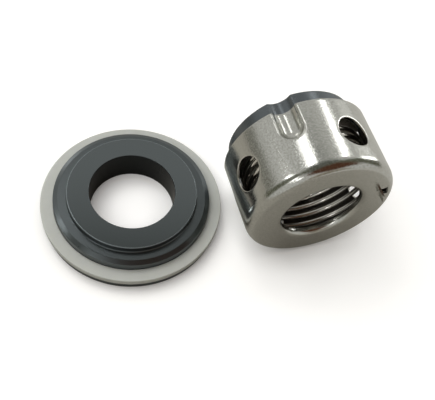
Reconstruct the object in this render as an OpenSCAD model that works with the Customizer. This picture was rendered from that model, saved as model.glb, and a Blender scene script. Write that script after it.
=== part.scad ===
// Mechanical seal set for a rotating shaft: a stationary seat with its gasket, and a rotary head lying beside it.
// Millimetres, +Z up. The origin is the middle of the seat's bore on the table.
// The head's axis is level and points along +Y; it lies on the side of its pressed metal housing.
// Places along the head are counted from the outer face of its end plate, turns from -X over the top.

/* [Layout] */
// distance of the head's axis to the right of the seat's axis
head_x = 69.65; // [68:0.05:90]
// place of the head's end plate in front of the seat's axis
head_y = -36.5; // [-60:0.5:-20]

/* [Shaft] */
// diameter of the shaft that the set is made for
shaft_d = 33; // [31:0.5:34]
// radial play between shaft and seat
seat_play = 1.75; // [1:0.05:2.5]
// radial play between shaft and the housing's end hole
plate_play = 0.5; // [0.3:0.05:1]
// radial play between shaft and the sliding ring
ring_play = 0.7; // [0.4:0.05:1]

/* [Seat ring] */
// width of the raised lapped face
face_w = 9.45; // [7:0.05:10]
// width of the flat shoulder round the raised face
shoulder_w = 3.8; // [2.5:0.1:4.5]
// width of the bevel outside the shoulder
bevel_w = 2.0; // [1:0.1:2.5]
// width of the base flange that carries the gasket
flange_w = 4.8; // [3:0.1:5]
// thickness of the base flange
flange_t = 3.8; // [2.5:0.1:5]
// height of the plain wall above the gasket
collar_h = 3.3; // [1.5:0.1:4]
// height of the bevel
bevel_h = 1.0; // [0.5:0.1:2]
// height of the raised face above the shoulder
boss_h = 3.2; // [2:0.1:4]
// size of the small bevel round the lapped face
face_bevel = 0.35; // [0.2:0.05:0.8]
// radius of the soft corner where the raised face meets the shoulder
root_r = 0.6; // [0.3:0.1:1.2]

/* [Seat gasket] */
// thickness of the gasket
gasket_t = 2.9; // [2:0.1:4]
// how far the gasket stands out past the base flange
gasket_lip = 0.7; // [0.2:0.1:1.2]
// radial play between gasket and seat wall
gasket_play = 0.05; // [0.02:0.01:0.2]
// radius of the gasket's soft edges
gasket_edge = 0.45; // [0.2:0.05:0.9]

/* [Housing] */
// outer diameter of the pressed housing
housing_d = 63; // [61:0.5:66]
// length of the housing from end plate to rim
housing_l = 32.9; // [31:0.1:40]
// thickness of the pressed sheet
sheet_t = 0.85; // [0.6:0.05:1.1]
// outer radius of the bend between end plate and wall
corner_r = 3.0; // [2:0.1:4]
// outer radius of the bend into the end hole
lip_r = 2.0; // [1.5:0.1:2.5]
// length of the straight collar inside the end hole
lip_l = 1.0; // [0.5:0.1:1.6]

/* [Side holes] */
// diameter of the four holes in the wall
hole_d = 13.9; // [8:0.1:15]
// place of the holes along the head
hole_s = 16.75; // [14:0.25:20]
// turn of the first hole
hole_turn = 22.5; // [15:0.5:30]

/* [Drive dimples] */
// radius of the four pressed-in dimples
dimple_r = 5.1; // [4:0.1:5.5]
// depth of the dimples
dimple_depth = 3.9; // [3.6:0.05:4.6]
// place of the closed end of the dimples along the head
dimple_s = 18.2; // [15:0.1:20]
// turn of the first dimple
dimple_turn = 67.5; // [62:0.5:73]

/* [Sliding ring] */
// gap between the inside of the housing's wall and the sliding ring
ring_gap = 3.25; // [2.65:0.05:3.9]
// length of the sliding ring
ring_l = 12.9; // [11:0.1:14]
// how far the sliding ring stands out of the rim
ring_out = 7.8; // [5:0.1:9]
// play between the floor of a notch and the dimple in it
notch_deep_play = 1.9; // [0.5:0.05:2.3]
// extra radius of a notch over the dimple in it
notch_side_play = 0.35; // [0.2:0.05:1]
// size of the small bevels of the sliding ring
ring_bevel = 0.4; // [0.2:0.05:0.8]

/* [Secondary seal] */
// thickness of the rubber ring's cord
cord_d = 3.55; // [3:0.05:4]
// how much the rubber ring is smaller in radius than the shaft
cord_grip = 0.1; // [0:0.05:0.2]
// play of the rubber ring in its pocket
cord_play = 0.15; // [0.05:0.05:0.3]

/* [Thrust washer] */
// thickness of the thrust washer
washer_t = 1.2; // [0.8:0.1:1.6]
// how much the thrust washer is smaller in radius than the sliding ring
washer_step = 0.4; // [0.2:0.1:0.8]

/* [Coil spring] */
// thickness of the spring wire
wire_d = 2.2; // [1.6:0.1:2.4]
// open turns of the spring between its closed ends
open_turns = 4.5; // [3.5:0.25:4.75]
// turn at which the wire starts at the end plate
wire_turn = 240; // [0:5:355]
// radial play between spring and dimples
wire_play = 0.35; // [0.2:0.05:0.8]
// gap between the spring's ends and what they press on
wire_gap = 0.15; // [0.1:0.05:0.3]

/* [Drive tang] */
// width of the tang bent out of the end plate
tang_w = 4.4; // [3:0.1:5]
// height of the tang above the end plate
tang_h = 3.6; // [2.5:0.1:5]
// length of the window that the tang is bent out of
window_l = 4.05; // [3.5:0.05:4.5]
// flat sheet left between the window and the bend into the wall
window_edge = 0.5; // [0.3:0.1:1.5]
// inner radius of the tang's bend
tang_bend = 0.5; // [0.3:0.05:0.7]
// turn of the tang
tang_turn = 163.5; // [155:0.5:172]

/* [Hidden] */
$fn = 96;
eps = 0.01;
seat_bore_r = shaft_d / 2 + seat_play;
face_r = seat_bore_r + face_w;
shoulder_r = face_r + shoulder_w;
collar_r = shoulder_r + bevel_w;
flange_r = collar_r + flange_w;
gasket_top = flange_t + gasket_t;
collar_top = gasket_top + collar_h;
shoulder_z = collar_top + bevel_h;
face_z = shoulder_z + boss_h;
housing_r = housing_d / 2;
inner_r = housing_r - sheet_t;
plate_hole_r = shaft_d / 2 + plate_play;
window_to = housing_r - corner_r - window_edge;
tang_at = window_to - window_l + tang_bend;
// overlap of pieces that are made apart and are one piece of sheet
seam = 0.2;
// the dimples: axis of the pressing tool, and where the sheet's inner side comes to
dimple_axis_r = housing_r - dimple_depth + dimple_r;
dimple_reach = sqrt(dimple_r * dimple_r - (dimple_axis_r - housing_r) * (dimple_axis_r - housing_r));
dimple_end_s = dimple_s + dimple_reach;
dimple_in_r = housing_r - dimple_depth - sheet_t;
ring_r = inner_r - ring_gap;
ring_bore_r = shaft_d / 2 + ring_play;
ring_end = housing_l + ring_out;
ring_back = ring_end - ring_l;
washer_back = ring_back - washer_t;
notch_r = dimple_r + sheet_t + notch_side_play;
notch_axis_r = dimple_in_r - notch_deep_play + notch_r;
cord_r = cord_d / 2;
cord_mid_r = shaft_d / 2 - cord_grip + cord_r;
pocket_r = cord_mid_r + cord_r + cord_play;
pocket_l = cord_d + 2 * cord_play;
wire_r = wire_d / 2;
coil_r = dimple_in_r - wire_play - wire_r;
coil_from = sheet_t + wire_gap + wire_r;
coil_to = washer_back - wire_gap - wire_r;
closed_rise = wire_d + 0.1;
open_rise = (coil_to - coil_from - 2 * closed_rise) / open_turns;
coil_turns = open_turns + 2;

// the sub-part to draw

// a rectangle in the profile plane with softened corners
module soft_box(x0, x1, y0, y1, r) {
    translate([x0 + r, y0]) square([x1 - x0 - 2 * r, y1 - y0]);
    translate([x0, y0 + r]) square([x1 - x0, y1 - y0 - 2 * r]);
    translate([x0 + r, y0 + r]) circle(r);
    translate([x1 - r, y0 + r]) circle(r);
    translate([x0 + r, y1 - r]) circle(r);
    translate([x1 - r, y1 - r]) circle(r);
}

// a quarter of a disc reaching left and down from its corner
module quarter(r) {
    intersection() {
        circle(r);
        translate([-r, -r]) square([r, r]);
    }
}

// what is made along the head's own axis, laid down in its place
module head_place() {
    translate([head_x, head_y, housing_r]) rotate([-90, 0, 0]) children();
}

// children at a turn round the head
module at_turn(turn) {
    rotate([0, 0, turn + 180]) children();
}

// four children round the head
module four_round(turn) {
    for (k = [0:3]) at_turn(turn + 90 * k) children();
}

module seat_ring() {
    color([0.13, 0.14, 0.15]) rotate_extrude() difference() {
        polygon([
            [seat_bore_r, 0],
            [flange_r - 0.4, 0],
            [flange_r, 0.4],
            [flange_r, flange_t],
            [collar_r, flange_t],
            [collar_r, collar_top],
            [shoulder_r, shoulder_z],
            [face_r + root_r, shoulder_z],
            [face_r, shoulder_z + root_r],
            [face_r, face_z - face_bevel],
            [face_r - face_bevel, face_z],
            [seat_bore_r + face_bevel, face_z],
            [seat_bore_r, face_z - face_bevel]
        ]);
        // the hollow of the soft corner
        translate([face_r + root_r, shoulder_z + root_r]) quarter(root_r);
    }
}

module seat_gasket() {
    color([0.80, 0.80, 0.77]) rotate_extrude()
        soft_box(collar_r + gasket_play, flange_r + gasket_lip, flange_t, gasket_top, gasket_edge);
}

// outside of the drawn cup before the dimples go in
module cup_outer() {
    rotate_extrude() {
        translate([0, corner_r]) square([housing_r, housing_l - corner_r]);
        square([housing_r - corner_r, corner_r + eps]);
        translate([housing_r - corner_r, corner_r]) circle(corner_r);
    }
}

// room inside the drawn cup before the dimples go in
module cup_inner() {
    inner_corner = corner_r - sheet_t;
    rotate_extrude() {
        translate([0, corner_r]) square([inner_r, housing_l]);
        translate([0, sheet_t]) square([inner_r - inner_corner, inner_corner + eps]);
        translate([inner_r - inner_corner, corner_r]) circle(inner_corner);
    }
}

// the pressing tool of a dimple: a round-ended bar that runs out past the rim
module dimple_tool(r) {
    translate([dimple_axis_r, 0, dimple_end_s]) rotate_extrude() {
        intersection() {
            circle(r);
            translate([0, -r]) square([r, r]);
        }
        square([r, housing_l]);
    }
}

// the bend into the end hole with its short straight collar
module plate_lip() {
    rotate_extrude() {
        translate([plate_hole_r + lip_r, lip_r]) difference() {
            quarter(lip_r);
            circle(lip_r - sheet_t);
        }
        translate([plate_hole_r, lip_r - eps]) square([sheet_t, lip_l + eps]);
        translate([plate_hole_r + lip_r - eps, 0]) square([seam, sheet_t]);
    }
}

// the tang with its bend, seen from the side and drawn out to its width
module tang() {
    at_turn(tang_turn) translate([0, tang_w / 2, 0]) rotate([90, 0, 0]) linear_extrude(tang_w) {
        translate([tang_at - tang_bend, -tang_bend]) intersection() {
            difference() {
                circle(tang_bend + sheet_t);
                circle(tang_bend);
            }
            square([tang_bend + sheet_t + 1, tang_bend + sheet_t + 1]);
        }
        translate([tang_at - tang_bend - seam, 0]) square([seam + eps, sheet_t]);
        translate([tang_at, -tang_h]) square([sheet_t, tang_h - tang_bend + eps]);
    }
}

module housing() {
    color([0.62, 0.62, 0.60]) head_place() {
        difference() {
            cup_outer();
            difference() {
                cup_inner();
                four_round(dimple_turn) dimple_tool(dimple_r + sheet_t);
            }
            four_round(dimple_turn) dimple_tool(dimple_r);
            four_round(hole_turn) translate([housing_r - 4, 0, hole_s]) rotate([0, 90, 0]) cylinder(h = 6, d = hole_d);
            translate([0, 0, -1]) cylinder(h = 1 + corner_r, r = plate_hole_r + lip_r);
            at_turn(tang_turn) translate([tang_at - tang_bend, -tang_w / 2 - 0.25, -1])
                cube([window_to - tang_at + tang_bend, tang_w + 0.5, 1 + corner_r - 0.5]);
        }
        plate_lip();
        tang();
    }
}

// height of the spring's wire after so many turns: closed, open, closed
function wire_s(t) = t < 1
    ? coil_from + closed_rise * t
    : t < 1 + open_turns
        ? coil_from + closed_rise + open_rise * (t - 1)
        : coil_to - closed_rise * (coil_turns - t);
// a point on the wire's skin
function wire_pt(t, a) = [
    (coil_r + wire_r * cos(a)) * cos(360 * t),
    (coil_r + wire_r * cos(a)) * sin(360 * t),
    wire_s(t) + wire_r * sin(a)
];

module spring() {
    per_turn = 28;
    sides = 10;
    steps = round(coil_turns * per_turn);
    points = [for (i = [0:steps]) for (j = [0:sides - 1]) wire_pt(i * coil_turns / steps, 360 * j / sides)];
    skin = [for (i = [0:steps - 1]) for (j = [0:sides - 1])
        [i * sides + j, i * sides + (j + 1) % sides, (i + 1) * sides + (j + 1) % sides, (i + 1) * sides + j]];
    start_cap = [[for (j = [0:sides - 1]) sides - 1 - j]];
    end_cap = [[for (j = [0:sides - 1]) steps * sides + j]];
    color([0.75, 0.73, 0.70]) head_place() at_turn(wire_turn)
        polyhedron(points = points, faces = concat(start_cap, skin, end_cap), convexity = 10);
}

// the four notches that ride on the dimples
module notches(from, to) {
    four_round(dimple_turn) translate([notch_axis_r, 0, from]) cylinder(h = to - from, r = notch_r);
}

module thrust_washer() {
    color([0.66, 0.65, 0.62]) head_place() difference() {
        translate([0, 0, washer_back]) cylinder(h = washer_t, r = ring_r - washer_step);
        translate([0, 0, washer_back - 1]) cylinder(h = washer_t + 2, r = ring_bore_r);
        notches(washer_back - 1, ring_back + 1);
    }
}

module o_ring() {
    color([0.06, 0.06, 0.06]) head_place() translate([0, 0, ring_back + cord_play + cord_r])
        rotate_extrude() translate([cord_mid_r, 0]) circle(cord_r);
}

module seal_ring() {
    color([0.20, 0.21, 0.22]) head_place() difference() {
        rotate_extrude() polygon([
            [pocket_r + ring_bevel, ring_back],
            [ring_r - ring_bevel, ring_back],
            [ring_r, ring_back + ring_bevel],
            [ring_r, ring_end - ring_bevel],
            [ring_r - ring_bevel, ring_end],
            [ring_bore_r + ring_bevel, ring_end],
            [ring_bore_r, ring_end - ring_bevel],
            [ring_bore_r, ring_back + pocket_l],
            [pocket_r, ring_back + pocket_l],
            [pocket_r, ring_back + ring_bevel]
        ]);
        notches(ring_back - 1, ring_end + 1);
    }
}

seat_ring();
seat_gasket();
housing();
spring();
thrust_washer();
o_ring();
seal_ring();
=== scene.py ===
# %% [markdown]
# # A mechanical seal set, dressed for its picture
# A mechanical seal keeps a pump's liquid in where the shaft goes through the cover. The set has two halves:
# a stationary seat with a pale gasket, which lies flat, and a rotary head, which lies on the side of its
# pressed steel housing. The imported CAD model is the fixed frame: every piece made here sits where the CAD
# has it, and moves with the CAD body that it rides on.

# %% Load the frame
import bpy
import bmesh
import numpy as np
from mathutils import Matrix, Vector


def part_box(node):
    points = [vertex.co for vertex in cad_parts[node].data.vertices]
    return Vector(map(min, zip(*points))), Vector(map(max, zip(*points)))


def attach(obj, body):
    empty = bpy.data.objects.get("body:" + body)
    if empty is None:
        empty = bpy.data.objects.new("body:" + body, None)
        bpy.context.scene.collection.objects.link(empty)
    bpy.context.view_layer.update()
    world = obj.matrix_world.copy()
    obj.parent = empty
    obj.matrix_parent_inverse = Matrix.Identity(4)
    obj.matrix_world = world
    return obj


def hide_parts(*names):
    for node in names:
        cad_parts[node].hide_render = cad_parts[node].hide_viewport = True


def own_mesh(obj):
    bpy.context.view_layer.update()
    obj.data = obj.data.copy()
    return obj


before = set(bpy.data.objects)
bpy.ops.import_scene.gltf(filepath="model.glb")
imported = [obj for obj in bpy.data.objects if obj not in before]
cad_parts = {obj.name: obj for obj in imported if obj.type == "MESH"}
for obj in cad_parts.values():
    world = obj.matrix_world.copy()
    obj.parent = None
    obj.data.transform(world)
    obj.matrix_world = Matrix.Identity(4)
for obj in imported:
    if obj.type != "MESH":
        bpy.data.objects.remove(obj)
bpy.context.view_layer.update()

# %% [markdown]
# ## Sizes
# The sizes are those of the CAD part, in millimetres. A mesh is worked out in millimetres and turned into
# metres at the last moment, because Blender's unit is the metre. Places on the head are given by a turn
# round its level axis (0 points to -X, 90 is on top) and a distance along it from the end plate's outer
# face. Places on the seat are given by a turn round its upright axis and a height above the table.

# %% Sizes of the rotary head
MM = 0.001
# The axis lies at HEAD_X and HEAD_Z, and runs along +Y from the end plate's outer face at HEAD_Y.
HEAD_X, HEAD_Y, HEAD_Z = 69.65, -36.5, 31.5
# Housing: sheet thickness, outer wall, bend at the end plate, and the end hole with its inward collar.
SHEET, WALL_R, WALL_L = 0.85, 31.5, 32.9
CORNER_R, PLATE_HOLE_R, LIP_R, LIP_L = 3.0, 17.0, 2.0, 1.0
# Four round holes: radius, place along the axis, and turn of the first one.
HOLE_R, HOLE_S, HOLE_TURN = 6.95, 16.75, 22.5
# Four dimples, pressed by a round-ended tool: its radius, how far its axis lies from the head's, where its
# round end starts, and the turn of the first dimple.
DIMPLE_R, DIMPLE_AXIS, DIMPLE_TIP, DIMPLE_TURN = 5.1, 32.7, 23.16, 67.5
# Tang: turn, width, height over the plate, radius, far side of its window, and bend.
TANG_TURN, TANG_W, TANG_H, TANG_R, WINDOW_R, TANG_BEND = 163.5, 4.4, 3.6, 24.45, 28.0, 0.5
# Sliding ring, its notches, and where the washer behind it starts.
RING_R, RING_BORE, RING_FROM, RING_TO = 27.4, 17.2, 27.8, 40.7
NOTCH_R, NOTCH_AXIS = 6.3, 31.15
WASHER_FROM = 26.6
low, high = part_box("housing")
print("housing length in the CAD, tang included: %.2f mm" % ((high.y - low.y) / MM))

# %% Sizes of the seat
# Radii from the bore outwards, then heights from the table up.
SEAT_BORE, FACE_R, SHOULDER_R, COLLAR_R, FLANGE_R, GASKET_R = 18.25, 27.7, 31.5, 33.5, 38.3, 39.0
FLANGE_T, GASKET_TOP, COLLAR_TOP, SHOULDER_Z, FACE_Z = 3.8, 6.7, 10.0, 11.0, 14.2
low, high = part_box("seat_ring")
print("seat ring height in the CAD: %.2f mm" % ((high.z - low.z) / MM))


# %% Places on the head and on the seat
def on_head(turn, r, s):
    """Points in metres: r outwards from the head's axis at a turn in degrees, and s along the axis."""
    turn = np.radians(turn)
    x, z = HEAD_X - r * np.cos(turn), HEAD_Z + r * np.sin(turn)
    return np.stack(np.broadcast_arrays(x, HEAD_Y + s, z), -1) * MM


def on_seat(turn, r, s):
    """Points in metres: r outwards from the seat's axis at a turn in degrees, and s above the table."""
    turn = np.radians(turn)
    return np.stack(np.broadcast_arrays(r * np.cos(turn), r * np.sin(turn), s), -1) * MM


top_of_wall = on_head(90.0, WALL_R, 25.0)
print("top of the head's wall, metres:", top_of_wall.round(4))

# %% [markdown]
# ## Meshes from grids
# Nearly every piece here is turned, pressed or wound, so it is a grid of points: a profile carried round an
# axis. Blender's Screw modifier could turn a profile too, but in a grid the profile may change on its way
# round, which notches and dimples need. The faces follow from the grid's row and column numbers alone, so
# points and faces are both worked out as whole arrays.

# %% Faces of a grid
def grid_faces(rows, cols, wrap_rows=False, wrap_cols=False, start=0):
    """Quads of a rows x cols grid: each joins a point, its right neighbour, and the same two one row on."""
    row_starts, col_starts = np.arange(rows - (not wrap_rows)), np.arange(cols - (not wrap_cols))
    row, col = np.meshgrid(row_starts, col_starts, indexing="ij")
    row_on, col_on = (row + 1) % rows, (col + 1) % cols
    quads = np.stack([row * cols + col, row * cols + col_on, row_on * cols + col_on, row_on * cols + col], -1)
    return quads.reshape(-1, 4) + start


# %% A piece from points and faces
def make_piece(name, points, faces, body, material, merge=2e-7, outward=None):
    """A mesh object from points in metres. Doubles nearer than merge become one point, and all faces are
    turned outwards. On an open skin that is a guess, so outward may give a place and the way out there."""
    mesh = bpy.data.meshes.new(name)
    mesh.from_pydata(np.asarray(points).reshape(-1, 3).tolist(), [], np.asarray(faces).tolist())
    work = bmesh.new()
    work.from_mesh(mesh)
    bmesh.ops.remove_doubles(work, verts=work.verts, dist=merge)
    bmesh.ops.recalc_face_normals(work, faces=work.faces)
    if outward is not None:
        place, way_out = outward
        face = min(work.faces, key=lambda f: (f.calc_center_median() - Vector(place)).length)
        if face.normal.dot(Vector(way_out)) < 0:
            bmesh.ops.reverse_faces(work, faces=work.faces)
    work.to_mesh(mesh)
    work.free()
    mesh.shade_smooth()
    mesh.materials.append(material)
    piece = bpy.data.objects.new(name, mesh)
    bpy.context.scene.collection.objects.link(piece)
    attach(piece, body)
    print("%s: %d points, %d faces" % (name, len(mesh.vertices), len(mesh.polygons)))
    return piece


def steady_shading(piece):
    """Weighs each point's normal by the area of its faces, so that flats stay flat beside soft edges."""
    piece.modifiers.new("steady", "WEIGHTED_NORMAL").weight = 100
    return piece


# %% Turned pieces
def soft_profile(corners, steps=5):
    """A closed profile from rows of (r, s, edge radius): each corner becomes an arc that touches both sides.
    The arc's middle lies on the corner's bisector, at the radius over the sine of half the corner. Its points
    turn evenly from one touching point to the other: a blend of the two radii, weighed by sines."""
    corners = np.asarray(corners, float)
    tips, radius = corners[:, :2], corners[:, 2]
    before, after = np.roll(tips, 1, 0) - tips, np.roll(tips, -1, 0) - tips
    before /= np.linalg.norm(before, axis=1, keepdims=True)
    after /= np.linalg.norm(after, axis=1, keepdims=True)
    half = np.arccos(np.clip((before * after).sum(1), -1, 1)) / 2
    bisector = before + after
    bisector /= np.linalg.norm(bisector, axis=1, keepdims=True)
    centre = tips + bisector * (radius / np.sin(half))[:, None]
    reach = (radius / np.tan(half))[:, None]
    from_arm, to_arm = tips + before * reach - centre, tips + after * reach - centre
    sweep = (np.pi - 2 * half)[:, None, None]
    part = np.linspace(0, 1, steps)[None, :, None]
    arc = np.sin((1 - part) * sweep) * from_arm[:, None] + np.sin(part * sweep) * to_arm[:, None]
    return (centre[:, None] + arc / np.sin(sweep)).reshape(-1, 2)


def turned(name, profile, place, body, material, steps):
    """A closed profile of (r, s) carried once round an axis in even steps: one row of points for each."""
    turn = np.arange(steps)[:, None] * 360 / steps
    points = place(turn, profile[None, :, 0], profile[None, :, 1])
    piece = make_piece(name, points, grid_faces(steps, len(profile), True, True), body, material)
    return steady_shading(piece)


# %% [markdown]
# ## Materials
# Colours are written as the hex values that a screen shows and turned into the linear numbers that the
# renderer uses. One helper adds a node with its settings and links, and everything else is written out, so
# that each finish can be read from top to bottom. Every pattern reads Object coordinates, which are metres
# here: a noise node's scale is the number of patches a metre, so it is written as patches a millimetre
# over MM. A Mix node has a row of sockets for each kind of value, so those for colours and for plain
# numbers are named by their places in it.

# %% Material helpers
COLOUR_A, COLOUR_B, COLOUR_OUT = 6, 7, 2
NUMBER_A, NUMBER_B, NUMBER_OUT = 2, 3, 0
# Most of a noise lies between these two.
NOISE_LOW, NOISE_HIGH = 0.3, 0.7


def linear(code):
    """An sRGB hex colour as linear red, green, blue and 1: each part is undone by the sRGB curve."""
    shown = np.array([int(code[i:i + 2], 16) for i in (1, 3, 5)]) / 255
    light = np.where(shown <= 0.04045, shown / 12.92, ((shown + 0.055) / 1.055) ** 2.4)
    return (*light.tolist(), 1.0)


def add(tree, kind, inputs=None, **settings):
    """Adds a node of a kind, sets its settings, and fills its inputs with values or with links."""
    made = tree.nodes.new(kind)
    for key, value in settings.items():
        setattr(made, key, value)
    for key, value in (inputs or {}).items():
        socket = made.inputs[key]
        if isinstance(value, bpy.types.NodeSocket):
            tree.links.new(value, socket)
        else:
            socket.default_value = value
    return made


def new_material(name):
    """An empty material with its output node: returns the material, its node tree and the surface input."""
    made = bpy.data.materials.new(name)
    made.use_nodes = True
    made.node_tree.nodes.clear()
    out = add(made.node_tree, "ShaderNodeOutputMaterial")
    return made, made.node_tree, out.inputs["Surface"]


print("middle grey is linear %.3f" % linear("#808080")[0])

# %% [markdown]
# ### Stainless steel
# The housing is deep drawn from sheet and then tumbled with small stones. That leaves a bright satin: mirror
# images are kept but blurred, under a fine mottle of about 0.7 mm, faint lines along the draw and soft waves
# of about 5 mm. The lines run along the head's axis, which is Y, so their noise is stretched in Y. Real ones
# are too fine to show here, so they are drawn two thirds of a millimetre wide. A picture of a real surface
# would do as well, but noise with sizes in millimetres has no seam and stays sharp at any distance. One
# function makes five finishes: the outer wall; the burnished cut edges, painted near white as a painted
# highlight; the inner side that the stones hardly reach, rougher and painted dark as painted shade inside the
# cup; the stamped washer; and the smooth drawn wire, painted paler than the wall as a painted highlight.

# %% Stainless steel
WAVES_PER_MM, LINES_PER_MM, LINE_STRETCH = 0.2, 1.5, 20


def stainless(name, light, dark, rough_from, rough_to, mottle_mm, line_strength, bump_mm):
    """Metal whose colour goes from dark to light, and its roughness between two values, with the mottle. Its
    relief is the mottle, plus the lines by their strength, plus twice the waves, all times bump_mm."""
    made, tree, surface = new_material(name)
    place = add(tree, "ShaderNodeTexCoord").outputs["Object"]
    mottle = add(tree, "ShaderNodeTexNoise", {"Vector": place, "Scale": 1 / (mottle_mm * MM), "Detail": 1.0})
    waves = add(tree, "ShaderNodeTexNoise", {"Vector": place, "Scale": WAVES_PER_MM / MM, "Detail": 3.0})
    drawn = add(tree, "ShaderNodeMapping", {"Vector": place, "Scale": (1.0, 1 / LINE_STRETCH, 1.0)})
    lines = add(tree, "ShaderNodeTexNoise", {"Vector": drawn.outputs["Vector"], "Scale": LINES_PER_MM / MM,
                                             "Detail": 3.0})
    speck = add(tree, "ShaderNodeMapRange", {"Value": mottle.outputs["Fac"], "From Min": NOISE_LOW,
                                             "From Max": NOISE_HIGH})
    colour = add(tree, "ShaderNodeMix", {"Factor": speck.outputs["Result"], COLOUR_A: linear(dark),
                                         COLOUR_B: linear(light)}, data_type="RGBA")
    rough = add(tree, "ShaderNodeMapRange", {"Value": speck.outputs["Result"], "To Min": rough_from,
                                             "To Max": rough_to})
    grain = add(tree, "ShaderNodeMath", {0: lines.outputs["Fac"], 1: line_strength, 2: mottle.outputs["Fac"]},
                operation="MULTIPLY_ADD")
    relief = add(tree, "ShaderNodeMath", {0: waves.outputs["Fac"], 1: 2.0, 2: grain.outputs["Value"]},
                 operation="MULTIPLY_ADD")
    bumped = add(tree, "ShaderNodeBump", {"Height": relief.outputs["Value"], "Strength": 1.0,
                                          "Distance": bump_mm * MM})
    steel = add(tree, "ShaderNodeBsdfPrincipled", {"Base Color": colour.outputs[COLOUR_OUT], "Metallic": 1.0,
                                                   "Roughness": rough.outputs["Result"],
                                                   "Normal": bumped.outputs["Normal"]})
    tree.links.new(steel.outputs["BSDF"], surface)
    return made


# Name, pale and dark colour, least and most roughness, mottle in mm, strength of the lines, relief in mm.
housing_steel = stainless("tumbled_stainless_steel", "#d0d0cb", "#bdbdb7", 0.14, 0.23, 0.7, 0.3, 0.022)
# Near white: the burnished cut edges carry a painted highlight.
highlit_edge_steel = stainless("burnished_steel_edge_painted_highlight", "#f3f1ec", "#e6e3dc", 0.16, 0.26, 0.7, 0.2, 0.004)
# Dark: the inner side is rougher and also carries painted shade inside the cup.
shaded_inside_steel = stainless("drawn_steel_inside_painted_shade", "#6a6761", "#4f4c47", 0.30, 0.42, 0.5, 0.6, 0.010)
washer_steel = stainless("stamped_stainless_steel", "#c4c2bc", "#aaa7a0", 0.25, 0.40, 0.5, 0.3, 0.008)
# Paler than the housing's steel: a painted highlight on the spring's turns.
highlit_wire_steel = stainless("drawn_spring_wire_painted_highlight", "#f4f2ec", "#dedbd4", 0.12, 0.18, 0.8, 0.2, 0.002)
print("steel: lines %.2f mm wide, waves %.0f mm" % (1 / LINES_PER_MM, 1 / WAVES_PER_MM))

# %% [markdown]
# ### Silicon carbide
# Both running rings are sintered silicon carbide, a ceramic that is nearly black inside and bends light
# strongly (index about 2.65), so even its dark lapped face shines blue-grey. That face is a mirror, the
# ground walls scatter, the seat's bore is given hardly any shine as painted shade in the deep bore, and the
# broken edge round the seat's face is painted a paler grey as a painted highlight line. Each zone could be a
# material of its own, but the zones meet inside one turned surface, so one material tells them apart by the
# coordinates of each point. The real grain is a few thousandths of a millimetre, far too fine to show, so it
# is drawn a third of a millimetre wide.

# %% Silicon carbide
GRAINS_PER_MM, CLOUDS_PER_MM, CLOUD_ROUGH = 3.0, 0.09, 0.03
# BORE_SHINE turns the bore's reflection nearly off: a painted shade in the deep bore.
LAPPED_ROUGH, LAPPED_SHINE, GROUND_SHINE, BORE_SHINE = 0.06, 0.46, 0.38, 0.05
NOWHERE = 999.0


def silicon_carbide(name, light, dark, ground, lapped_from, bore, pale_from, tint):
    """A dark body under a clear reflection. The ground roughness goes up and down a little in wide clouds.
    Past lapped_from, an axis and a place in mm, it is lapped; within bore mm of the upright axis it is dull,
    a painted shade; beyond pale_from, a radius and a height in mm, lies the pale edge, a painted highlight."""
    made, tree, surface = new_material(name)
    place = add(tree, "ShaderNodeTexCoord").outputs["Object"]
    grain = add(tree, "ShaderNodeTexNoise", {"Vector": place, "Scale": GRAINS_PER_MM / MM, "Detail": 3.0})
    cloud = add(tree, "ShaderNodeTexNoise", {"Vector": place, "Scale": CLOUDS_PER_MM / MM, "Detail": 2.0})
    body_colour = add(tree, "ShaderNodeMix", {"Factor": grain.outputs["Fac"], COLOUR_A: linear(dark),
                                              COLOUR_B: linear(light)}, data_type="RGBA")
    wear = add(tree, "ShaderNodeMapRange", {"Value": cloud.outputs["Fac"], "From Min": NOISE_LOW,
                                            "From Max": NOISE_HIGH, "To Min": ground - CLOUD_ROUGH,
                                            "To Max": ground + CLOUD_ROUGH})
    axes = add(tree, "ShaderNodeSeparateXYZ", {"Vector": place})
    on_face = add(tree, "ShaderNodeMath", {0: axes.outputs[lapped_from[0]], 1: lapped_from[1] * MM},
                  operation="GREATER_THAN")
    rough = add(tree, "ShaderNodeMix", {"Factor": on_face.outputs["Value"], NUMBER_A: wear.outputs["Result"],
                                        NUMBER_B: LAPPED_ROUGH})
    flat = add(tree, "ShaderNodeVectorMath", {0: place, 1: (1.0, 1.0, 0.0)}, operation="MULTIPLY")
    off_axis = add(tree, "ShaderNodeVectorMath", {0: flat.outputs["Vector"]}, operation="LENGTH")
    off_bore = add(tree, "ShaderNodeMath", {0: off_axis.outputs["Value"], 1: bore * MM},
                   operation="GREATER_THAN")
    wall_shine = add(tree, "ShaderNodeMapRange", {"Value": off_bore.outputs["Value"], "To Min": BORE_SHINE,
                                                  "To Max": GROUND_SHINE})
    shine = add(tree, "ShaderNodeMix", {"Factor": on_face.outputs["Value"],
                                        NUMBER_A: wall_shine.outputs["Result"], NUMBER_B: LAPPED_SHINE})
    far_out = add(tree, "ShaderNodeMath", {0: off_axis.outputs["Value"], 1: pale_from[0] * MM},
                  operation="GREATER_THAN")
    high_up = add(tree, "ShaderNodeMath", {0: axes.outputs["Z"], 1: pale_from[1] * MM},
                  operation="GREATER_THAN")
    on_edge = add(tree, "ShaderNodeMath", {0: far_out.outputs["Value"], 1: high_up.outputs["Value"]},
                  operation="MULTIPLY")
    # The pale grey #5c6366 is a painted highlight line round the seat's face.
    colour = add(tree, "ShaderNodeMix", {"Factor": on_edge.outputs["Value"],
                                         COLOUR_A: body_colour.outputs[COLOUR_OUT],
                                         COLOUR_B: linear("#5c6366")}, data_type="RGBA")
    body = add(tree, "ShaderNodeBsdfPrincipled", {"Base Color": colour.outputs[COLOUR_OUT], "IOR": 2.65,
                                                  "Specular Tint": linear(tint),
                                                  "Roughness": rough.outputs[NUMBER_OUT],
                                                  "Specular IOR Level": shine.outputs[NUMBER_OUT]})
    tree.links.new(body.outputs["BSDF"], surface)
    return made


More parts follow.
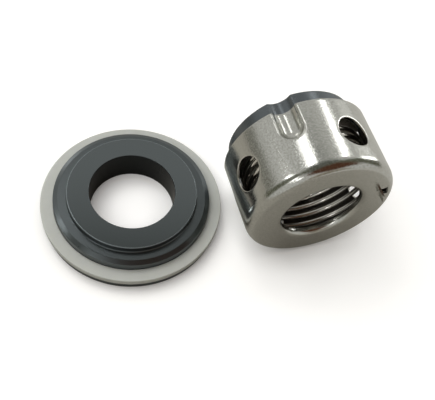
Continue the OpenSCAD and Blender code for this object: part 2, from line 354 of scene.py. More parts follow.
seat_ceramic = silicon_carbide("lapped_silicon_carbide", "#15181a", "#0c0e0f", 0.30, ("Z", FACE_Z - 0.005),
                               SEAT_BORE + 0.15, (FACE_R - 0.34, FACE_Z - 0.4), "#e4f0f4")
# The ring's colours are lighter than the seat's: painted light on the ring's ground wall.
ring_ceramic = silicon_carbide("ground_silicon_carbide", "#2b2f32", "#1f2225", 0.26,
                               ("Y", HEAD_Y + RING_TO - 0.005), 0.0, (NOWHERE, 0.0), "#e2ecf2")
print("ceramic: grain %.2f mm, clouds %.0f mm" % (1 / GRAINS_PER_MM, 1 / CLOUDS_PER_MM))

# %% [markdown]
# ### Milky gasket
# The gasket is a milky fluoropolymer. Light goes a millimetre or two into it and comes out beside the place
# where it went in, so its edges look soft and its lower side borrows the dark of the ring behind it. Plain
# pale paint would look chalky, and real transparency would be slow and noisy, so the light is scattered
# below the surface. A shallow skin of about half a millimetre keeps the highlights from being too clean.

# %% Milky gasket
def milky_gasket():
    """Pale plastic: four tenths of its light scatters below the surface, over about 1.5 mm."""
    made, tree, surface = new_material("milky_fluoropolymer")
    place = add(tree, "ShaderNodeTexCoord").outputs["Object"]
    cloud = add(tree, "ShaderNodeTexNoise", {"Vector": place, "Scale": 0.16 / MM, "Detail": 3.0})
    colour = add(tree, "ShaderNodeMix", {"Factor": cloud.outputs["Fac"], COLOUR_A: linear("#b4b6b1"),
                                         COLOUR_B: linear("#bec0bb")}, data_type="RGBA")
    skin = add(tree, "ShaderNodeTexNoise", {"Vector": place, "Scale": 1.8 / MM, "Detail": 2.0})
    bumped = add(tree, "ShaderNodeBump", {"Height": skin.outputs["Fac"], "Strength": 1.0,
                                          "Distance": 0.004 * MM})
    body = add(tree, "ShaderNodeBsdfPrincipled", {"Base Color": colour.outputs[COLOUR_OUT],
                                                  "Roughness": 0.42, "IOR": 1.38,
                                                  "Subsurface Weight": 0.4, "Subsurface Scale": 1.5 * MM,
                                                  "Subsurface Radius": (1.0, 1.0, 0.8),
                                                  "Normal": bumped.outputs["Normal"]})
    tree.links.new(body.outputs["BSDF"], surface)
    return made


gasket_plastic = milky_gasket()
print("made", gasket_plastic.name)

# %% [markdown]
# ### Black rubber
# The small ring inside the head is moulded black rubber. Its mould leaves a fine grain, drawn here a fifth
# of a millimetre wide, which breaks the sheen up. Hardly any of it is seen, so one noise gives both the
# slight change of colour and the relief.

# %% Black rubber
def black_rubber():
    """A dark body with the index of rubber, whose colour and relief both follow one fine noise."""
    made, tree, surface = new_material("moulded_black_rubber")
    place = add(tree, "ShaderNodeTexCoord").outputs["Object"]
    grain = add(tree, "ShaderNodeTexNoise", {"Vector": place, "Scale": 5.0 / MM, "Detail": 2.0})
    colour = add(tree, "ShaderNodeMix", {"Factor": grain.outputs["Fac"], COLOUR_A: linear("#111111"),
                                         COLOUR_B: linear("#1d1d1c")}, data_type="RGBA")
    bumped = add(tree, "ShaderNodeBump", {"Height": grain.outputs["Fac"], "Strength": 1.0,
                                          "Distance": 0.01 * MM})
    body = add(tree, "ShaderNodeBsdfPrincipled", {"Base Color": colour.outputs[COLOUR_OUT],
                                                  "Roughness": 0.5, "IOR": 1.52,
                                                  "Normal": bumped.outputs["Normal"]})
    tree.links.new(body.outputs["BSDF"], surface)
    return made


ring_rubber = black_rubber()
print("made", ring_rubber.name)

# %% [markdown]
# ### Finishes of the CAD nodes
# Every CAD node is replaced by a finer piece below. It gets the same finish as that piece, so that the part
# would look right with either.

# %% Finishes of the CAD nodes
for node_name, finish in {"seat_ring": seat_ceramic, "seat_gasket": gasket_plastic, "housing": housing_steel,
                          "spring": highlit_wire_steel, "thrust_washer": washer_steel, "o_ring": ring_rubber,
                          "seal_ring": ring_ceramic}.items():
    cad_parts[node_name].data.materials.clear()
    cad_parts[node_name].data.materials.append(finish)
print("materials:", [m.name for m in bpy.data.materials])

# %% [markdown]
# ## The seat ring
# The seat ring is ground all over and lapped on top. The eye reads it by its edges: a hair-thin bright line
# where each one is broken, and a hollow corner at the foot of the face. A Bevel modifier would give all of
# them one width, so the profile has a radius of its own for each corner, 0.1 to 0.6 mm, and is turned once
# round the upright axis.

# %% Seat ring
seat_profile = soft_profile([
    (SEAT_BORE, 0, 0.15), (FLANGE_R, 0, 0.4), (FLANGE_R, FLANGE_T, 0.15), (COLLAR_R, FLANGE_T, 0.1),
    (COLLAR_R, COLLAR_TOP, 0.25), (SHOULDER_R, SHOULDER_Z, 0.5), (FACE_R, SHOULDER_Z, 0.6),
    (FACE_R, FACE_Z, 0.35), (SEAT_BORE, FACE_Z, 0.35)])
seat_ring = turned("seat_ring_ground", seat_profile, on_seat, "set", seat_ceramic, 360)
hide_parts("seat_ring")

# %% [markdown]
# ## The gasket
# The gasket is a flat ring that lies round the seat's wall on its flange. Soft plastic takes rounder edges
# than ceramic, so its corners have larger radii and more points. It starts 0.05 mm clear of the wall, so
# that no face of it lies in a face of the seat.

# %% Gasket
GASKET_CLEAR = 0.05
gasket_profile = soft_profile([
    (COLLAR_R + GASKET_CLEAR, FLANGE_T, 0.3), (GASKET_R, FLANGE_T, 0.45), (GASKET_R, GASKET_TOP, 0.45),
    (COLLAR_R + GASKET_CLEAR, GASKET_TOP, 0.3)], 7)
seat_gasket = turned("seat_gasket_moulded", gasket_profile, on_seat, "set",
                     gasket_plastic, 360)
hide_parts("seat_gasket")

# %% [markdown]
# ## Grooves pressed or ground into a round wall
# The housing's dimples and the seal ring's notches are one kind of form: a round wall with a smaller round
# tool sunk into it. A Boolean could cut them, but it leaves long thin faces and a sharp edge. Here the wall
# is the place where a field is zero. The field is the larger of "outside the wall" and "inside the tool",
# with the step between them smoothed, and the width of that smoothing is about the edge's bend radius. The
# radius where the field crosses zero is found by halving, for all points at once.

# %% Grooved walls
# How far under and over the plain wall the radius is looked for, and how often the span is halved.
DEEPEST, HIGHEST, HALVINGS = 9.0, 0.5, 34
WALL_BEND = 0.9


def soft_max(one, other, width):
    """The larger of two, plus a quarter of the squared overlap over the width where they come closer."""
    return np.maximum(one, other) + np.clip(width - np.abs(one - other), 0, None) ** 2 / (4 * width)


def grooved(turn, s, wall_r, tool_axis, tool_r, tip, soft):
    """Radius of a round wall with four grooves: the span is halved until the smoothed field is zero there.
    The tool's field is its radius less the distance to its axis, or to the middle of its round end."""
    off = np.radians((turn - DIMPLE_TURN + 45) % 90 - 45)
    behind_tip = np.minimum(s - tip, 0)
    inner = np.full(np.broadcast(off, s).shape, wall_r - DEEPEST)
    outer = np.full(inner.shape, wall_r + HIGHEST)
    for _ in range(HALVINGS):
        r = (inner + outer) / 2
        gap = np.sqrt((r * np.cos(off) - tool_axis) ** 2 + (r * np.sin(off)) ** 2 + behind_tip ** 2)
        outside = soft_max(r - wall_r, tool_r - gap, soft) > 0
        inner, outer = np.where(outside, inner, r), np.where(outside, r, outer)
    return inner


print("a dimple is %.2f mm deep at the rim" % (WALL_R - grooved(np.array([DIMPLE_TURN]), WALL_L, WALL_R,
                                                                DIMPLE_AXIS, DIMPLE_R, DIMPLE_TIP,
                                                                WALL_BEND)[0]))


# %% Columns packed where the form bends
def spread(count, first, last, bumps, width, gain):
    """count + 1 places from first to last, packed closer near the bumps: even steps of a summed density,
    which is 1 plus gain times a bell of that width round each bump."""
    x = np.linspace(first, last, 2001)
    density = 1 + gain * np.exp(-((x[:, None] - np.asarray(bumps)[None]) / width) ** 2).sum(1)
    total = np.concatenate([[0], np.cumsum((density[1:] + density[:-1]) / 2)])
    return np.interp(np.linspace(0, total[-1], count + 1), total, x)


# Degrees from a notch's middle to its edge, and the turns of all the ring's columns.
NOTCH_EDGE, RING_COLUMNS = 10.2, 96
ring_quarter = DIMPLE_TURN + spread(RING_COLUMNS, -45, 45, [-NOTCH_EDGE, NOTCH_EDGE], 2.5, 5.0)[:-1]
ring_turns = (ring_quarter[None] + 90 * np.arange(4)[:, None]).ravel()
print("ring columns:", len(ring_turns), "closest %.2f degrees" % np.diff(ring_turns).min())

# %% [markdown]
# ## Seal ring and thrust washer
# The sliding ring is ground from silicon carbide, with four notches for the dimples and a pocket for the
# rubber ring at its back. Its outline is a circle with four grooves. The end edges are broken by moving the
# outline inwards while it climbs along the axis, so the notches' edges are broken as well, which scaling
# the outline wouldn't do. The washer behind it is stamped from sheet in the same outline, a little smaller.

# %% Notched rings
NO_TIP, NOTCH_SOFT = -99.0, 0.35


def outline(wall_r, inset):
    """The grooved outline moved inwards by inset, square to its run: turn and radius of each point."""
    r = grooved(ring_turns, 0.0, wall_r, NOTCH_AXIS, NOTCH_R, NO_TIP, NOTCH_SOFT)
    place = r * np.exp(1j * np.radians(ring_turns))
    along = np.roll(place, -1) - np.roll(place, 1)
    place = place + inset * 1j * along / np.abs(along)
    return np.degrees(np.angle(place)), np.abs(place)


def notched(name, wall_r, rows, body, material):
    """Rows of (inset from the outline or None, own radius, s): outlines and circles, joined all round."""
    points = []
    for inset, r, s in rows:
        turn, radius = (ring_turns, r) if inset is None else outline(wall_r, inset)
        points.append(on_head(turn, radius, s))
    faces = grid_faces(len(rows), len(ring_turns), True, True)
    return steady_shading(make_piece(name, np.stack(points), faces, body, material))


# %% Seal ring
EDGE, POCKET_R, POCKET_L = 0.4, 20.1, 3.85
# A broken edge: inset and climb of each of its rows, as shares of EDGE.
BROKEN = [(1.6, 0), (1.0, 0), (0.5, 0.2), (0.15, 0.6), (0, 1.0)]
back_edge = [(EDGE * inset, 0, RING_FROM + EDGE * climb) for inset, climb in BROKEN]
front_edge = [(EDGE * inset, 0, RING_TO - EDGE * climb) for inset, climb in reversed(BROKEN)]
bore_rows = [
    (None, RING_BORE + EDGE * 1.3, RING_TO), (None, RING_BORE + EDGE, RING_TO),
    (None, RING_BORE, RING_TO - EDGE), (None, RING_BORE, RING_FROM + POCKET_L + 0.1),
    (None, RING_BORE + 0.1, RING_FROM + POCKET_L), (None, POCKET_R, RING_FROM + POCKET_L),
    (None, POCKET_R, RING_FROM + 0.3), (None, POCKET_R + 0.3, RING_FROM)]
seal_ring = notched("seal_ring_ground", RING_R, [
    (None, POCKET_R + 0.5, RING_FROM), *back_edge, (0, 0, RING_FROM + 1.2), (0, 0, RING_TO - 1.2),
    *front_edge, *bore_rows], "sliding_face", ring_ceramic)
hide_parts("seal_ring")

# %% Thrust washer
thrust_washer = notched("thrust_washer_stamped", RING_R - 0.4, [
    (0.15, 0, WASHER_FROM), (0.04, 0, WASHER_FROM + 0.05), (0, 0, WASHER_FROM + 0.2),
    (0, 0, RING_FROM - 0.12), (0.04, 0, RING_FROM - 0.03), (0.12, 0, RING_FROM),
    (None, RING_BORE + 0.15, RING_FROM), (None, RING_BORE, RING_FROM - 0.12),
    (None, RING_BORE, WASHER_FROM + 0.2), (None, RING_BORE + 0.2, WASHER_FROM)],
    "sliding_face", washer_steel)
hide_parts("thrust_washer")

# %% [markdown]
# ## Rubber ring
# The rubber ring seals the shaft at the back of the sliding ring. It is a plain torus. Blender has a torus of
# its own, but a circle turned like the other pieces lands in its place without being moved afterwards.

# %% Rubber ring
CORD_R, CORD_MID, CORD_CLEAR, CORD_SIDES = 1.775, 18.175, 0.15, 28
around = np.linspace(0, 2 * np.pi, CORD_SIDES, endpoint=False)
cord_s = RING_FROM + CORD_CLEAR + CORD_R
cord_profile = np.stack([CORD_MID + CORD_R * np.cos(around), cord_s + CORD_R * np.sin(around)], -1)
o_ring = turned("o_ring_moulded", cord_profile, on_head, "sliding_face", ring_rubber, 160)
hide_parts("o_ring")

# %% [markdown]
# ## Coil spring
# The spring is one length of round wire wound to the right, with a closed turn at each end. A curve with a
# round bevel could make it, but here the wire's circle is carried along the helix as a grid, so that its
# ends can be closed to a point. The circle stays in a plane through the axis, which at so small a rise is as
# good as square to the wire. The rise is slow in the closed turns and quick in the open ones.

# %% Coil spring
WIRE_R, WIRE_SIDES, POINTS_A_TURN = 1.1, 18, 112
# The coil stands clear of the dimples' inner sides.
COIL_CLEAR = 0.35
COIL_R = DIMPLE_AXIS - DIMPLE_R - SHEET - COIL_CLEAR - WIRE_R
OPEN_TURNS, START_TURN, END_CLEAR = 4.5, 240.0, 0.15
coil_from, coil_to = SHEET + END_CLEAR + WIRE_R, WASHER_FROM - END_CLEAR - WIRE_R
closed_rise = 2 * WIRE_R + 0.1
turns = np.linspace(0, OPEN_TURNS + 2, int(POINTS_A_TURN * (OPEN_TURNS + 2)) + 1)
rise = np.interp(turns, [0, 1, 1 + OPEN_TURNS, 2 + OPEN_TURNS],
                 [coil_from, coil_from + closed_rise, coil_to - closed_rise, coil_to])
angle = np.linspace(0, 2 * np.pi, WIRE_SIDES, endpoint=False)
wire_points = on_head(START_TURN + 360 * turns[:, None], COIL_R + WIRE_R * np.cos(angle)[None],
                      rise[:, None] + WIRE_R * np.sin(angle)[None])
end_caps = [np.tile(row.mean(0), (1, WIRE_SIDES, 1)) for row in (wire_points[0], wire_points[-1])]
wire_points = np.concatenate([end_caps[0], wire_points, end_caps[1]])
spring = make_piece("spring_wound", wire_points, grid_faces(len(wire_points), WIRE_SIDES, False, True), "set",
                    highlit_wire_steel)
spring.data.set_sharp_from_angle(angle=np.radians(50))
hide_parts("spring")
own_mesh(spring)

# %% [markdown]
# ## The pressed housing
# The housing is one sheet, so it is made as one skin: its outer side as a grid, with the thickness given
# inwards by Solidify and the cut edges broken by Bevel. That keeps the sheet equally thick in the dimples,
# the bends and the tang, which separate solids would not. The skin is four kinds of patch that share their
# edge points: the end with its bends and the tang's window, the blocks with a dimple, the blocks with a
# round hole, and the band at the rim. The columns are closer together along the dimples' sides.

# %% Columns and rows of the skin
BLOCK_HALF, PER_BLOCK, BLOCK_ROWS = 22.5, 60, 44
BEND_S, S_LOW, S_HIGH = 4.8, 5.6, 29.0
DIMPLE_SIDE = 9.0
hole_span = HOLE_TURN - BLOCK_HALF + np.linspace(0, 2 * BLOCK_HALF, PER_BLOCK + 1)
dimple_span = DIMPLE_TURN + spread(PER_BLOCK, -BLOCK_HALF, BLOCK_HALF, [-DIMPLE_SIDE, DIMPLE_SIDE], 3.0, 2.4)
columns = (np.concatenate([hole_span[:-1], dimple_span[:-1]])[None] + 90 * np.arange(4)[:, None]).ravel()
block_s = spread(BLOCK_ROWS, S_LOW, S_HIGH, [DIMPLE_TIP - 4.9], 1.8, 1.6)


def wall_points(turn, s, lowered=0.0):
    """The housing's outer side: the grooved wall, whose edges bend over about WALL_BEND mm, less lowered."""
    r = grooved(turn, s, WALL_R, DIMPLE_AXIS, DIMPLE_R, DIMPLE_TIP, WALL_BEND)
    return on_head(turn, r - lowered, s)


print("columns:", len(columns), "closest %.2f degrees" % np.diff(columns).min())

# %% [markdown]
# ### End plate with its bends
# Seen in section, the end is a short collar, a bend into the end hole, the flat plate, and the bend into the
# wall. That section is carried round the axis. Round the tang the columns can't fan out, because a tang has
# straight sides, so there they run side by side, and go over into the fan again further off. The faces of
# the window are left out, and Bevel later breaks its edges as it does all others.

# %% Section of the end
quarter = np.radians(np.linspace(0, 90, 10))
bend = np.radians(np.linspace(0, 90, 15))[1:]
plate_r = np.concatenate([np.linspace(PLATE_HOLE_R + LIP_R, TANG_R - TANG_BEND, 6)[1:],
                          np.linspace(TANG_R - TANG_BEND, WINDOW_R, 6)[1:], [WALL_R - CORNER_R]])
section = np.concatenate([
    [(PLATE_HOLE_R, LIP_R + LIP_L), (PLATE_HOLE_R, LIP_R + LIP_L / 2)],
    np.stack([PLATE_HOLE_R + LIP_R - LIP_R * np.cos(quarter), LIP_R - LIP_R * np.sin(quarter)], -1),
    np.stack([plate_r, 0 * plate_r], -1),
    np.stack([WALL_R - CORNER_R + CORNER_R * np.sin(bend), BEND_S - BEND_S * np.cos(bend)], -1),
    [(WALL_R, (BEND_S + S_LOW) / 2), (WALL_R, S_LOW)]])
section_r, section_s = section[:, :1], section[:, 1:]
print("section of the end: %d points" % len(section))

# %% End plate
# Columns from the tang's middle to its side, to the window's side, and to the last one that is bent over.
TANG_SIDE, WINDOW_SIDE, LAST_BENT = 8, 9, 24
WINDOW_GAP, COLUMN_MM = 0.25, 0.32
from_tang = np.arange(len(columns)) - int(np.argmin(np.abs(columns - TANG_TURN)))
sideways_mm = np.sign(from_tang) * np.interp(
    np.abs(from_tang), [0, TANG_SIDE, WINDOW_SIDE, LAST_BENT],
    [0, TANG_W / 2, TANG_W / 2 + WINDOW_GAP, LAST_BENT * COLUMN_MM])
near_tang = np.clip((LAST_BENT - np.abs(from_tang)) / (LAST_BENT - WINDOW_SIDE), 0, 1)
near_tang = near_tang * near_tang * (3 - 2 * near_tang)
# Radii where the straight columns begin and end, the lengths over which they do so, and how far up.
STRAIGHT_FROM, STRAIGHT_TO, FADE_IN, FADE_OUT, STRAIGHT_S = 19.5, 31.3, 3.0, 2.5, 2.2
in_plate = np.minimum((section_r - STRAIGHT_FROM) / FADE_IN, (STRAIGHT_TO - section_r) / FADE_OUT)
share = near_tang[None] * np.clip(in_plate, 0, 1) * (section_s < STRAIGHT_S)
straight_turn = TANG_TURN + np.degrees(np.arcsin(sideways_mm[None] / section_r))
end_points = on_head(columns[None] * (1 - share) + straight_turn * share, section_r, section_s)
end_faces = grid_faces(len(section), len(columns), False, True)
row_of, col_of = end_faces[:, 0] // len(columns), from_tang[end_faces[:, 0] % len(columns)]
window_rows = np.where((section_r > TANG_R - TANG_BEND - 1e-6) & (section_r < WINDOW_R - 1e-6)
                       & (section_s == 0))[0]
in_window = np.isin(row_of, window_rows) & (col_of >= -WINDOW_SIDE) & (col_of < WINDOW_SIDE)
end_faces = end_faces[~in_window]
print("end patch: %d faces, %d cut away for the window" % (len(end_faces), in_window.sum()))

# %% [markdown]
# ### The tang
# The tang is a tongue cut out of the end plate on three sides and bent outwards, to catch in the piece that
# drives the head round. A block set on the plate would show a seam. So it starts at the plate's own edge
# points and follows a small bend and a straight stretch, and its last rows grow narrower along a quarter
# circle, which rounds its two corners.

# %% The tang
TANG_CORNER = 0.9
corner_turn = np.radians([25, 50, 70, 90])
small_bend = quarter[::3]
bend_out = np.stack([TANG_R - TANG_BEND + TANG_BEND * np.sin(small_bend),
                     TANG_BEND * np.cos(small_bend) - TANG_BEND], -1)
rounded_end = np.stack([0 * corner_turn + TANG_R,
                        -TANG_H + TANG_CORNER - TANG_CORNER * np.sin(corner_turn)], -1)
tang_path = np.concatenate([bend_out, [(TANG_R, -1.4), (TANG_R, -2.2), (TANG_R, -TANG_H + TANG_CORNER)],
                            rounded_end])
half_width = np.full(len(tang_path), TANG_W / 2)
half_width[-len(corner_turn):] += TANG_CORNER * np.cos(corner_turn) - TANG_CORNER
tang_w = np.linspace(-1, 1, 2 * TANG_SIDE + 1)[None] * half_width[:, None]
tang_turn = TANG_TURN + np.degrees(np.arcsin(tang_w / tang_path[:, :1]))
tang_points = on_head(tang_turn, tang_path[:, :1], tang_path[:, 1:])
tang_faces = grid_faces(*tang_w.shape, start=end_points.size // 3)
print("tang: %d faces" % len(tang_faces))

# %% [markdown]
# ### Wall, dimples and side holes
# The wall goes round in eight blocks, a hole's and a dimple's in turn, with a band at the rim. A dimple's
# block is a plain grid on the grooved wall. In a hole's block the grid runs in rings from the hole's circle
# out to the block's square edge, so the hole stays round, which a hole punched through a plain grid would
# not. The punch draws the sheet in a little at the edge and burnishes it: the die roll.

# %% Dimple blocks
patches = [end_points.reshape(-1, 3), tang_points.reshape(-1, 3)]
faces = [end_faces, tang_faces]
count = sum(len(points) for points in patches)
for block in range(4):
    turn, s = np.meshgrid(dimple_span + 90 * block, block_s)
    patches.append(wall_points(turn, s).reshape(-1, 3))
    faces.append(grid_faces(*turn.shape, start=count))
    count += turn.size
print("points with the dimples:", count)

# %% Hole blocks
# Depth and reach of the die roll, and the number of rings, which lie closer together near the hole.
DIE_ROLL, ROLL_REACH, RINGS, CROWDED = 0.20, 0.26, 14, 1.5
edge_turn = np.concatenate([hole_span[:-1], np.full(BLOCK_ROWS, hole_span[-1]), hole_span[:0:-1],
                            np.full(BLOCK_ROWS, hole_span[0])])
edge_s = np.concatenate([np.full(PER_BLOCK, S_LOW), block_s[:-1], np.full(PER_BLOCK, S_HIGH), block_s[:0:-1]])
way = np.arctan2(edge_s - HOLE_S, WALL_R * np.radians(edge_turn - HOLE_TURN))
rim_turn = HOLE_TURN + np.degrees(np.arcsin(HOLE_R * np.cos(way) / WALL_R))
rim_s = HOLE_S + HOLE_R * np.sin(way)
part_way = (np.linspace(0, 1, RINGS) ** CROWDED)[:, None]
hole_turns = rim_turn[None] * (1 - part_way) + edge_turn[None] * part_way
hole_places = rim_s[None] * (1 - part_way) + edge_s[None] * part_way
block_reach = np.hypot(WALL_R * np.radians(edge_turn - rim_turn), edge_s - rim_s)
die_roll = DIE_ROLL * np.exp(-part_way * block_reach[None] / ROLL_REACH)
for block in range(4):
    patches.append(wall_points(hole_turns + 90 * block, hole_places, die_roll).reshape(-1, 3))
    faces.append(grid_faces(*hole_turns.shape, False, True, start=count))
    count += hole_turns.size
print("points with the holes:", count)

# %% Rim band
turn, s = np.meshgrid(columns, np.linspace(S_HIGH, WALL_L, 6))
patches.append(wall_points(turn, s).reshape(-1, 3))
faces.append(grid_faces(*turn.shape, False, True, start=count))
housing = make_piece("housing_pressed", np.concatenate(patches), np.concatenate(faces), "set",
                     housing_steel, merge=2e-6,
                     outward=(top_of_wall.tolist(), (0, 0, 1)))

# %% [markdown]
# ### Sheet thickness and edges
# Solidify gives the sheet its thickness towards the inside, with the duller finish there, painted dark as
# painted shade inside the cup. Bevel then breaks every cut edge and gives it the burnished finish, painted
# near white as a painted highlight, and the narrow ring of wall that each punch burnished gets the same: its
# faces are found by their distance from the hole's middle, unrolled along the wall.

# %% Sheet thickness and edges
OUTSIDE, INSIDE, CUT_EDGE = 0, 1, 2
# Width in mm of the burnished ring round each hole, which carries the painted highlight, and of the edge
# break.
BURNISHED_HIGHLIGHT, EDGE_BREAK = 0.30, 0.40
housing.data.materials.append(shaded_inside_steel)
housing.data.materials.append(highlit_edge_steel)
centres = np.empty(3 * len(housing.data.polygons))
housing.data.polygons.foreach_get("center", centres)
centres = centres.reshape(-1, 3) / MM
turn = np.degrees(np.arctan2(centres[:, 2] - HEAD_Z, HEAD_X - centres[:, 0]))
off_turn = (turn - HOLE_TURN + 45) % 90 - 45
from_hole = np.hypot(WALL_R * np.radians(off_turn), centres[:, 1] - HEAD_Y - HOLE_S)
# Faces within that ring get the near-white finish: a painted highlight round each hole.
finish_of = np.where(from_hole < HOLE_R + BURNISHED_HIGHLIGHT, CUT_EDGE, OUTSIDE).astype(np.int32)
housing.data.polygons.foreach_set("material_index", finish_of)
sheet = housing.modifiers.new("sheet", "SOLIDIFY")
sheet.thickness, sheet.offset, sheet.use_even_offset = SHEET * MM, -1.0, True
sheet.material_offset = INSIDE
edge = housing.modifiers.new("cut_edges", "BEVEL")
edge.width, edge.segments, edge.limit_method, edge.angle_limit = EDGE_BREAK * MM, 3, "ANGLE", np.radians(55)
edge.material = CUT_EDGE
steady_shading(housing)
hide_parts("housing")
print("burnished faces round the holes:", int((finish_of == CUT_EDGE).sum()))

# %% [markdown]
# ## Table
# The table is white paper. The camera sees it lifted to white, but the lift fades where the table does not
# lie open to the sky, which paints a shade round and under the pieces on top of their shadows, as in a
# cleaned-up shop picture. More lamp light would lift it as well, but would bleach the pieces too. In mirror
# images it is a plain grey, painted paler on the right side where more light falls, which gives the polished
# steel and the lapped face their lower half.

# %% Table
TABLE_HALF = 2.0
# Where the mirrored table turns paler, a painted light, in metres along X, and the reach and steepness of the
# painted shade round the pieces.
PALE_FROM, PALE_TO = 0.10, 0.16
SHADOW_MM, SHADOW_POWER, LIFT = 12, 1.3, 0.34


def white_table():
    """Paper in one of three tones. Camera rays get the palest one and a glow, which is LIFT times the open
    part of the sky to a power, so the glow fades into a painted shade near the pieces. All other rays get a
    grey that turns paler with X, in metres: painted light on the right side."""
    made, tree, surface = new_material("white_table")
    path = add(tree, "ShaderNodeLightPath")
    axes = add(tree, "ShaderNodeSeparateXYZ", {"Vector": add(tree, "ShaderNodeTexCoord").outputs["Object"]})
    right_side = add(tree, "ShaderNodeMapRange", {"Value": axes.outputs["X"], "From Min": PALE_FROM,
                                                  "From Max": PALE_TO}, interpolation_type="SMOOTHSTEP")
    mirrored = add(tree, "ShaderNodeMix", {"Factor": right_side.outputs["Result"],
                                           COLOUR_A: linear("#adaaa2"), COLOUR_B: linear("#cfceca")},
                   data_type="RGBA")
    tone = add(tree, "ShaderNodeMix", {"Factor": path.outputs["Is Camera Ray"],
                                       COLOUR_A: mirrored.outputs[COLOUR_OUT], COLOUR_B: linear("#ecebe9")},
               data_type="RGBA")
    paper = add(tree, "ShaderNodeBsdfDiffuse", {"Color": tone.outputs[COLOUR_OUT]})
    open_sky = add(tree, "ShaderNodeAmbientOcclusion", {"Distance": SHADOW_MM * MM}, samples=12)
    steeper = add(tree, "ShaderNodeMath", {0: open_sky.outputs["AO"], 1: SHADOW_POWER}, operation="POWER")
    lifted = add(tree, "ShaderNodeMath", {0: steeper.outputs["Value"], 1: LIFT}, operation="MULTIPLY")
    seen = add(tree, "ShaderNodeMath", {0: path.outputs["Is Camera Ray"], 1: lifted.outputs["Value"]},
               operation="MULTIPLY")
    glow = add(tree, "ShaderNodeEmission", {"Color": linear("#ffffff"), "Strength": seen.outputs["Value"]})
    both = add(tree, "ShaderNodeAddShader", {0: paper.outputs["BSDF"], 1: glow.outputs["Emission"]})
    tree.links.new(both.outputs["Shader"], surface)
    return made


table_corners = np.array([(-1, -1, 0), (1, -1, 0), (1, 1, 0), (-1, 1, 0)]) * TABLE_HALF
table_mesh = bpy.data.meshes.new("table")
table_mesh.from_pydata(table_corners.tolist(), [], [(0, 1, 2, 3)])
table_mesh.materials.append(white_table())
table = bpy.data.objects.new("table", table_mesh)
bpy.context.scene.collection.objects.link(table)
print("table: %.0f m wide" % (2 * TABLE_HALF))

# %% [markdown]
# ## Room
# Bright metal shows little of itself and much of what stands round it, so the room is half of the steel's
# look: a plain white one would leave it flat. A picture of a real room is the usual way, but this one is
# built from directions, so each tone can be placed where the steel needs it. It is a pale grey with a dark
# ceiling, a dark band on either side that draws the wall's long stripes, and round patches in brown, grey
# and near white. Only camera rays see plain white instead. Azimuths are degrees from +Y towards +X.

# %% Directions in the room
world = bpy.data.worlds.new("studio")
bpy.context.scene.world = world
world.use_nodes = True
room = world.node_tree
room.nodes.clear()
way_to = add(room, "ShaderNodeTexCoord").outputs["Generated"]
direction = add(room, "ShaderNodeSeparateXYZ", {"Vector": way_to})
sideways = add(room, "ShaderNodeMath", {0: direction.outputs["X"]}, operation="ABSOLUTE")
# The same for left and right: 0 is straight back, a quarter turn is straight sideways. The side bands have
# their middle at 88 degrees.
SIDE_BAND = np.radians(88)
heading = add(room, "ShaderNodeMath", {0: sideways.outputs["Value"], 1: direction.outputs["Y"]},
              operation="ARCTAN2")
past_side = add(room, "ShaderNodeMath", {0: heading.outputs["Value"], 1: SIDE_BAND},
                operation="SUBTRACT")
off_side = add(room, "ShaderNodeMath", {0: past_side.outputs["Value"]}, operation="ABSOLUTE")


def way_out_to(azimuth, elevation):
    """A direction as a unit vector: sine and cosine of the azimuth, flattened by the elevation's cosine."""
    azimuth, elevation = np.radians([azimuth, elevation])
    flat = np.cos(elevation)
    return (np.sin(azimuth) * flat, np.cos(azimuth) * flat, np.sin(elevation))


def patch(azimuth, elevation, full, none, colour):
    """A round patch as a layer. Its measure is the dot product with its middle, so it runs between the
    cosines of two angles in degrees: none of the colour at the wider one, and all of it at the other."""
    toward = add(room, "ShaderNodeVectorMath", {0: way_to, 1: way_out_to(azimuth, elevation)},
                 operation="DOT_PRODUCT")
    return toward.outputs["Value"], np.cos(np.radians(none)), np.cos(np.radians(full)), colour


print("straight up is", np.round(way_out_to(0, 90), 3))

# %% Layers of the room
# Each layer has a measure, its values where the layer starts and where it is full, and a colour.
layers = [
    (direction.outputs["Z"], 0.81, 0.95, "#5f615a"),
    patch(-61, 2, 7, 18, "#85847c"),
    (off_side.outputs["Value"], np.radians(19), np.radians(10), "#646557"),
    patch(64, 12, 9, 15, "#e8e8e4"),
    patch(168, 14, 12, 26, "#958d80"),
    patch(-168, 62, 10, 20, "#573a29"),
    patch(118, 46, 8, 18, "#5c4636"),
    patch(150, 58, 19, 31, "#573a29")]
view = linear("#c6c6c2")
for measure, none, full, colour in layers:
    part = add(room, "ShaderNodeMapRange", {"Value": measure, "From Min": none, "From Max": full},
               interpolation_type="SMOOTHSTEP")
    mixed = add(room, "ShaderNodeMix", {"Factor": part.outputs["Result"], COLOUR_A: view,
                                        COLOUR_B: linear(colour)}, data_type="RGBA")
    view = mixed.outputs[COLOUR_OUT]
path = add(room, "ShaderNodeLightPath")
grey = add(room, "ShaderNodeBackground", {"Color": view, "Strength": 1.0})
white = add(room, "ShaderNodeBackground", {"Color": linear("#ffffff"), "Strength": 1.0})
choose = add(room, "ShaderNodeMixShader", {0: path.outputs["Is Camera Ray"], 1: grey.outputs["Background"],
                                           2: white.outputs["Background"]})
add(room, "ShaderNodeOutputWorld", {"Surface": choose.outputs["Shader"]})
print("layers of the room:", len(layers))

# %% [markdown]
# ## Lamps
# Long bright streaks on a round wall are the mirror images of lamps, so each streak has a small panel of its
# own, up to two metres off, whose width and height follow the streak's. They are weak, because they are
# there to be seen and not to light. The light itself comes from a wide panel high at the back left and a
# tiny one close to the seat, and both are hidden from mirror rays.

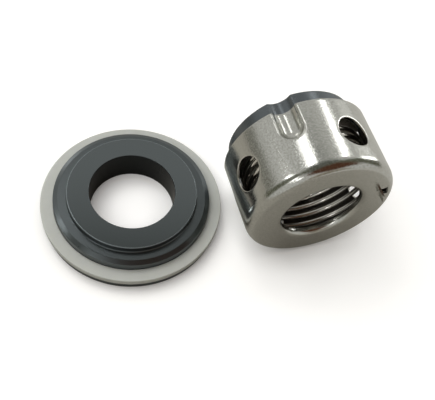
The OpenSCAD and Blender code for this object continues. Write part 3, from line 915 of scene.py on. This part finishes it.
# %% Lamps
def soft_box(name, azimuth, elevation, distance, wide, high, watts, aim=(0.05, -0.01, 0.02)):
    """A lamp panel, in metres: from the aim go the distance out in a direction, and look back at the aim."""
    way_out = Vector(way_out_to(azimuth, elevation))
    lamp = bpy.data.lights.new(name, "AREA")
    lamp.shape, lamp.size, lamp.size_y, lamp.energy = "RECTANGLE", wide, high, watts
    made = bpy.data.objects.new(name, lamp)
    made.location = Vector(aim) + way_out * distance
    made.rotation_mode = "QUATERNION"
    made.rotation_quaternion = way_out.to_track_quat("Z", "Y")
    bpy.context.scene.collection.objects.link(made)
    return made


# Name, azimuth and elevation in degrees, distance, width and height in metres, and watts.
for panel in [("box_back_left", -21, 60, 2.0, 0.46, 0.20, 1.6),
              ("box_back_right", 50, 42, 2.0, 0.20, 0.34, 1.2),
              ("box_left", -66, 39, 2.0, 0.18, 0.18, 1.4),
              ("box_front_left", -112, 45, 2.0, 0.16, 0.36, 1.1),
              ("box_front", -133, 43, 2.0, 0.30, 0.20, 0.9),
              ("window_right", 73, 16, 0.8, 0.10, 0.34, 0.55),
              ("backdrop", -18, 12, 2.0, 0.42, 0.26, 1.0)]:
    soft_box(*panel)
wide_fill = soft_box("fill_from_back_left", -50, 70, 3.0, 2.6, 2.6, 52.0)
wide_fill.visible_glossy = False
seat_fill = soft_box("fill_near_seat", -45, 41, 0.22, 0.10, 0.10, 0.06, aim=(0.0, 0.0, 0.01))
seat_fill.visible_glossy = False

# %% [markdown]
# ## Camera
# The camera was fitted to the ellipses that the seat's bore, face and gasket and the head's end hole and
# outline make in the photograph, both halves at once. That gave its focal length in the photograph's pixels,
# its place in metres, and the three directions of the picture: right, up, and ahead into it.

# %% Camera
SENSOR_MM, FOCAL_PX, PHOTO_WIDE = 36.0, 667.4, 435
EYE = (-0.038007, -0.150506, 0.255410)
RIGHT, UP, AHEAD = (0.9513, -0.2820, 0.12448), (0.17676, 0.82989, 0.52919), (0.25254, 0.48142, -0.83932)
cam_data = bpy.data.cameras.new("camera")
cam_data.sensor_width, cam_data.lens = SENSOR_MM, SENSOR_MM * FOCAL_PX / PHOTO_WIDE
cam_data.clip_start, cam_data.clip_end = 0.01, 20.0
camera = bpy.data.objects.new("camera", cam_data)
camera.matrix_world = Matrix([(RIGHT[i], UP[i], -AHEAD[i], EYE[i]) for i in range(3)] + [(0, 0, 0, 1)])
bpy.context.scene.collection.objects.link(camera)
bpy.context.scene.camera = camera
bpy.context.scene.view_settings.view_transform = "Standard"
print("lens %.2f mm" % cam_data.lens)
